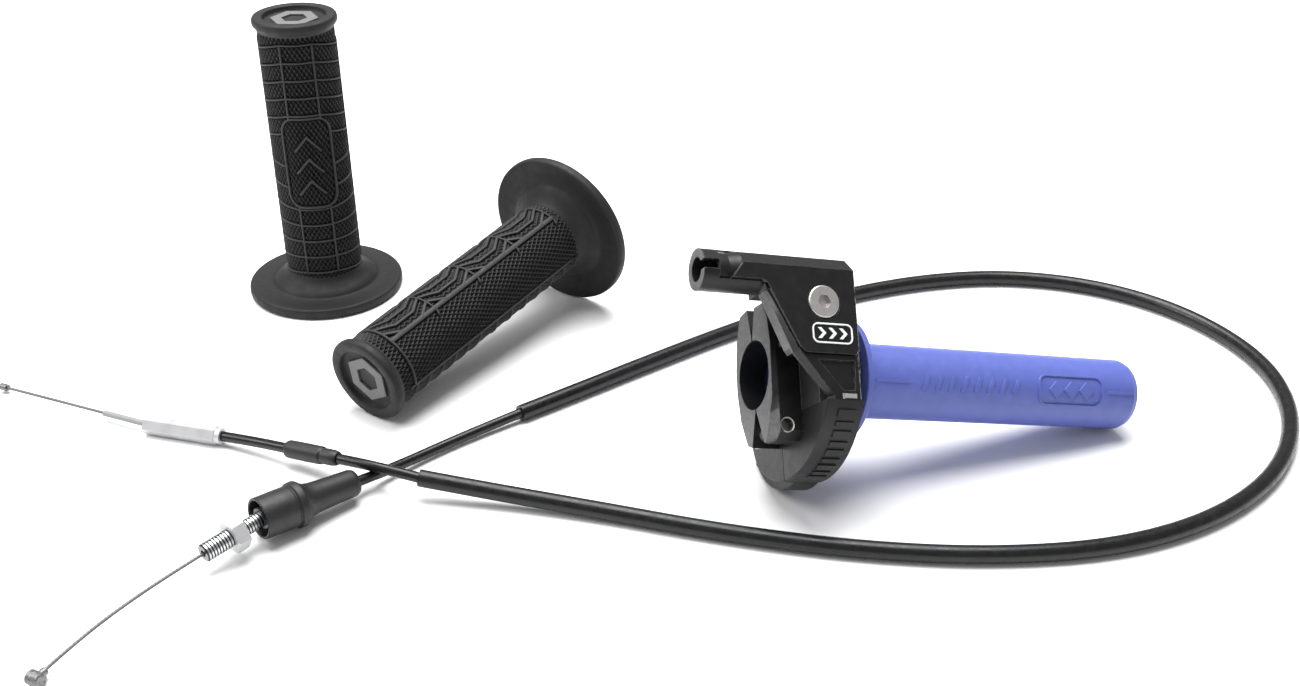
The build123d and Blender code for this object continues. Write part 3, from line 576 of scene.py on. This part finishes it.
def distance_to(points, path):
    """Least distance from unrolled points to a path, in millimetres, round the barrel's seam."""
    best = np.full(len(points), 9.0)
    turn = 360 * DEGREE
    for (s0, z0), (s1, z1) in zip(path, path[1:]):
        a, b = np.array([s0 * DEGREE, z0]), np.array([s1 * DEGREE, z1])
        run = b - a
        for shift in (-turn, 0, turn):
            rel = points - a + [shift, 0]
            share = np.clip(rel @ run / (run @ run), 0, 1)
            best = np.minimum(best, np.hypot(*(rel - share[:, None] * run).T))
    return best


def smooth_step(low, high, value):
    t = np.clip((value - low) / (high - low), 0, 1)
    return t * t * (3 - 2 * t)


def knurl(s, z, ribs):
    """Share of the pits' depth, 0 to 1: a raised diamond lattice with a moat beside ribs."""
    across, length = s * DIAMONDS_ROUND / 360, z / DIAMOND_LEN
    lattice = np.zeros_like(s)
    for value in (across + length, across - length):
        offset = np.abs(value - np.round(value))
        lattice = np.maximum(lattice, 1 - smooth_step(0.05, 0.19, offset))
    points = np.column_stack([s * DEGREE, z])
    for path, width in ribs:
        near = distance_to(points, path)
        moat = WIDE_MOAT if width > WIDE_RIB else MOAT
        lattice = np.minimum(lattice, smooth_step(0.0, 0.35, near - width / 2 - moat))
    ends = smooth_step(KNURL_FROM, KNURL_FROM + 0.7, z)
    ends *= smooth_step(0.0, 0.7, KNURL_TO - z)
    return 1 - (1 - lattice) * ends


def grip_skin(bore, s_of, ribs):
    """Whole barrel as one closed surface, from the bore's end round the mouth to the recess."""
    columns = DIAMONDS_ROUND * COLUMNS_PER_DIAMOND
    angles = np.linspace(0, 360, columns, endpoint=False)
    rows = int((KNURL_TO - KNURL_FROM) / DIAMOND_LEN * ROWS_PER_DIAMOND)
    levels = np.linspace(KNURL_FROM, KNURL_TO, rows + 1)
    foot = [
        (AXIS_R, BORE_DEPTH), (bore, BORE_DEPTH), (bore, 8.0),
        (16.6, 8.0), (15.9, 8.7), (15.3, 9.5),
    ]
    head = [
        (14.9, 110.9), (15.5, 111.7), (15.9, 112.3), (BEAD_R, 112.8), (BEAD_R, 113.7),
        (15.85, 114.3), (15.5, 114.8), (14.9, GRIP_LEN), (12.4, GRIP_LEN), (12.0, 114.8),
        (11.8, 114.4), (11.75, 113.2), (11.4, RECESS_FLOOR), (AXIS_R, RECESS_FLOOR),
    ]
    s_grid, z_grid = np.meshgrid(s_of(angles) % 360, levels)
    level = knurl(s_grid.ravel(), z_grid.ravel(), ribs).reshape(s_grid.shape)
    radius = barrel_radius(z_grid) + PIT_DEPTH * (level - 1)
    foot_radii, head_radii = ([np.full(columns, r) for r, _ in end] for end in (foot, head))
    radii = foot_radii + list(radius) + head_radii
    heights = [z for _, z in foot] + list(levels) + [z for _, z in head]
    relief = np.full((len(heights), columns), 0.7)
    relief[len(foot):len(foot) + len(levels)] = 0.6 * level
    turn = np.radians(angles)
    vertices = np.concatenate([
        np.column_stack([r * np.cos(turn), r * np.sin(turn), np.full(columns, z)])
        for r, z in zip(radii, heights)
    ])
    below = np.arange(columns)
    beside = np.roll(below, -1)
    faces = []
    for i in range(len(heights) - 1):
        base, above = i * columns, (i + 1) * columns
        quads = np.column_stack([base + below, base + beside, above + beside, above + below])
        faces += quads.tolist()
    last = (len(heights) - 1) * columns
    faces.append(below[::-1].tolist())
    faces.append((last + below).tolist())
    return vertices, faces, relief.ravel()


def rib_ribbon(path, width, angle_of):
    """Raised rib along an unrolled path, wrapped on the barrel."""
    stations = []
    for (s0, z0), (s1, z1) in zip(path, path[1:]):
        a, b = np.array([s0 * DEGREE, z0]), np.array([s1 * DEGREE, z1])
        steps = max(1, ceil(np.linalg.norm(b - a) / 1.5))
        stations += [a + (b - a) * k / steps for k in range(steps)]
    stations.append(np.array([path[-1][0] * DEGREE, path[-1][1]]))
    stations = np.array(stations)
    runs = np.diff(stations, axis=0)
    runs /= np.linalg.norm(runs, axis=1)[:, None]
    before, after = np.vstack([runs[:1], runs]), np.vstack([runs, runs[-1:]])
    mean = before + after
    mean /= np.linalg.norm(mean, axis=1)[:, None]
    side = np.column_stack([-mean[:, 1], mean[:, 0]])
    side /= np.clip((mean * after).sum(1), 0.6, 1)[:, None]
    section = (
        (-width / 2 - 0.12, -RIB_ROOT), (-width / 2, RIB_TOP - 0.1), (-width / 2 + 0.1, RIB_TOP),
        (width / 2 - 0.1, RIB_TOP), (width / 2, RIB_TOP - 0.1), (width / 2 + 0.12, -RIB_ROOT),
    )
    vertices = []
    for station, across in zip(stations, side):
        for offset, lift in section:
            s, z = station + across * offset
            angle = radians(angle_of(s / DEGREE))
            radius = barrel_radius(z) + lift
            vertices.append((radius * cos(angle), radius * sin(angle), z))
    size = len(section)
    faces = [tuple(range(size))[::-1]]
    for i in range(len(stations) - 1):
        base = i * size
        for j in range(size):
            k = (j + 1) % size
            faces.append((base + j, base + k, base + size + k, base + size + j))
    faces.append(tuple(range((len(stations) - 1) * size, len(stations) * size)))
    return np.array(vertices), faces


def make_grip(side, place, bore, angle_of, s_of):
    ribs = palm_ribs() + finger_ribs()
    vertices, faces, relief = grip_skin(bore, s_of, ribs)
    parts, reliefs = [vertices], [relief]
    count = len(vertices)
    for path, width in ribs:
        extra, more = rib_ribbon(path, width, angle_of)
        faces += [[count + v for v in face] for face in more]
        parts.append(extra)
        reliefs.append(np.full(len(extra), 1.0))
        count += len(extra)
    body = f"{side}_grip"
    at = transform(np.concatenate(parts) * MM, place)
    add_piece(
        f"grip_{side}_knurled", at, faces, body, "grip_rubber", [f"grip_{side}_barrel"],
        relief=np.concatenate(reliefs),
    )
    outline = soften([
        (bore, 0.0), (30.3, 0.0), (FLANGE_R, 0.8), (FLANGE_R, 3.3), (30.3, 4.15), (28.6, 4.05),
        (24.5, 3.7), (21.2, 4.1), (20.4, 5.3), (19.2, 6.4), (17.4, 7.5), (15.9, 8.9),
        (14.95, 10.6), (14.4, 10.7), (bore, 10.7),
    ], reach=1.2)
    at, faces = turned(outline, place)
    add_piece(
        f"grip_{side}_guard", at, faces, body, "grip_rubber", [f"grip_{side}_flange"],
        relief=np.full(len(at), 0.7),
    )


def lying_place():
    """The lying grip rests on its flange's rim and on its bead."""
    tilt = atan2(FLANGE_R - BEAD_R, BEAD_AT - RIM_AT)
    at = Matrix.Translation(LYING_AT + Vector((0, 0, FLANGE_R * cos(tilt) * MM)))
    at @= Matrix.Rotation(LYING_HEADING, 4, "Z") @ Matrix.Rotation(pi / 2 + tilt, 4, "Y")
    return at @ Matrix.Translation((0, 0, -RIM_AT * MM))


PALM_LYING, PALM_STANDING = 153.8, 112.0  # direction of the long rib round each grip
make_grip(
    "right", lying_place(), BORE_RIGHT,
    angle_of=lambda s: s + PALM_LYING, s_of=lambda angle: angle - PALM_LYING,
)
make_grip(
    "left", Matrix.Translation(STANDING_AT), BORE_LEFT,
    angle_of=lambda s: PALM_STANDING - s, s_of=lambda angle: PALM_STANDING - angle,
)


# ---------------------------------------------------------------- cable
def route(name, points, radius):
    """NURBS curve along route points in millimetres; a radius of 0 leaves a bare line."""
    data = bpy.data.curves.new(name, "CURVE")
    data.dimensions = "3D"
    data.resolution_u = 16
    data.bevel_depth = radius * MM
    data.bevel_resolution = 6
    data.use_fill_caps = True
    spline = data.splines.new("NURBS")
    spline.points.add(len(points) - 1)
    for point, at in zip(spline.points, points):
        point.co = (*(c * MM for c in at), 1)
    spline.order_u = 3
    spline.use_endpoint_u = True
    piece = bpy.data.objects.new(name, data)
    bpy.context.collection.objects.link(piece)
    return piece


def centre_line(points):
    """Points along the route's own NURBS spline."""
    line = route("line", points, 0)
    bpy.context.view_layer.update()
    evaluated = line.evaluated_get(bpy.context.evaluated_depsgraph_get())
    mesh = bpy.data.meshes.new_from_object(evaluated)
    found = np.array([v.co[:] for v in mesh.vertices])
    bpy.data.objects.remove(line)
    bpy.data.meshes.remove(mesh)
    return found


def stranded(name, points, body, node):
    """Steel wire of six strands laid round a core; gives the piece and its middle line."""
    line = centre_line(points)
    runs = np.linalg.norm(np.diff(line, axis=0), axis=1)
    reach = np.concatenate([[0], np.cumsum(runs)])
    stops = np.linspace(0, reach[-1], int(reach[-1] / STRAND_STEP))
    path = np.column_stack([np.interp(stops, reach, line[:, i]) for i in range(3)])
    ahead = np.gradient(path, axis=0)
    ahead /= np.linalg.norm(ahead, axis=1)[:, None]
    side = np.cross(ahead, [0, 0, 1])
    side /= np.linalg.norm(side, axis=1)[:, None]
    up = np.cross(side, ahead)
    columns = STRAND_COLUMNS
    around = np.linspace(0, 2 * pi, columns, endpoint=False)
    twist = around[None] - 2 * pi * stops[:, None] / STRAND_LAY
    radius = WIRE_R * MM * (STRAND_VALLEY + STRAND_CROWN * np.abs(np.cos(3 * twist)))
    ring = path[:, None] + radius[..., None] * (
        np.cos(around)[None, :, None] * side[:, None] + np.sin(around)[None, :, None] * up[:, None]
    )
    faces = [list(range(columns))]
    for i in range(len(stops) - 1):
        base, above = i * columns, (i + 1) * columns
        for j in range(columns):
            k = (j + 1) % columns
            faces.append([base + j, above + j, above + k, base + k])
    last = (len(stops) - 1) * columns
    faces.append(list(range(last, last + columns))[::-1])
    piece = add_piece(name, ring.reshape(-1, 3), faces, body, "wire_steel", [node])
    return piece, line


def make_cable():
    conduit_a = route("conduit_a", CONDUIT_A, CONDUIT_R)
    finish_piece(conduit_a, "housing", "conduit_black", ["cable_conduit_a"])
    sleeve = route("sleeve", SLEEVE, SLEEVE_R)
    finish_piece(sleeve, "housing", "sleeve_black", ["cable_sleeve"])
    conduit_b = route("conduit_b", CONDUIT_B, CONDUIT_R)
    finish_piece(conduit_b, "housing", "conduit_black", ["cable_conduit_b"])

    boot_outline = soften([
        (5.9, 0.0), (6.8, 0.0), (6.95, 11.0), (6.75, 11.3), (6.8, 11.7), (7.5, 11.9),
        (7.65, 14.1), (7.1, 14.9), (6.2, 15.9), (5.6, 17.2), (5.25, 19.0), (5.0, 22.0),
        (4.75, 27.0), (4.6, 33.6), (4.0, 35.0), (2.2, 35.0), (2.1, 14.5), (5.6, 12.5),
    ], reach=0.35)
    at, faces = turned(boot_outline, aimed(BOOT_OPEN, BOOT_SMALL), 72)
    boot = add_piece("dust_boot", at, faces, "housing", "boot_rubber", ["cable_boot"])

    start, end = Vector(CONDUIT_A[2]), Vector(CONDUIT_A[3])
    first = start + (end - start) * 0.12 - (end - start).normalized() * 4.0
    collar_outline = soften([
        (1.7, 0.0), (2.4, 0.0), (2.9, 0.6), (3.1, 1.4), (3.15, 8.0), (3.1, 14.6), (2.95, 15.0),
        (2.7, 15.3), (2.75, 16.5), (2.75, 19.2), (2.5, 20.8), (2.2, 21.5), (1.7, 21.5),
    ], reach=0.3)
    at, faces = turned(collar_outline, aimed(first, end), 64)
    collar = add_piece("joint_collar", at, faces, "housing", "boot_rubber", ["cable_collar"])

    wire_b, line_b = stranded("wire_b", WIRE_B, "inner_wire_b", "cable_wire_b")
    wire_a, line_a = stranded("wire_a", WIRE_A, "inner_wire_a", "cable_wire_a")


make_cable()


# ---------------------------------------------------------------- stage
def make_stage():
    floor_look = Shader("floor", (0.93, 0.93, 0.93), 0.85)
    size = FLOOR_HALF
    mesh = bpy.data.meshes.new("floor")
    corners = [(-size, -size, 0), (size, -size, 0), (size, size, 0), (-size, size, 0)]
    mesh.from_pydata(corners, [], [(0, 1, 2, 3)])
    mesh.materials.append(floor_look.done())
    floor = bpy.data.objects.new("floor", mesh)
    floor.location.z = -FLOOR_DROP
    bpy.context.collection.objects.link(floor)

    world = bpy.data.worlds.new("studio")
    world.use_nodes = True
    background = world.node_tree.nodes["Background"]
    background.inputs["Color"].default_value = (1.0, 1.0, 1.0, 1.0)
    background.inputs["Strength"].default_value = WORLD_STRENGTH
    bpy.context.scene.world = world

    for name, at, aim, width, power in LIGHTS:
        light = bpy.data.lights.new(name, "AREA")
        light.shape, light.size, light.energy = "DISK", width, power
        lamp = bpy.data.objects.new(name, light)
        lamp.location = at
        lamp.rotation_euler = (Vector(aim) - Vector(at)).to_track_quat("-Z", "Y").to_euler()
        bpy.context.collection.objects.link(lamp)
    bpy.context.scene.view_settings.view_transform = "Standard"


make_stage()
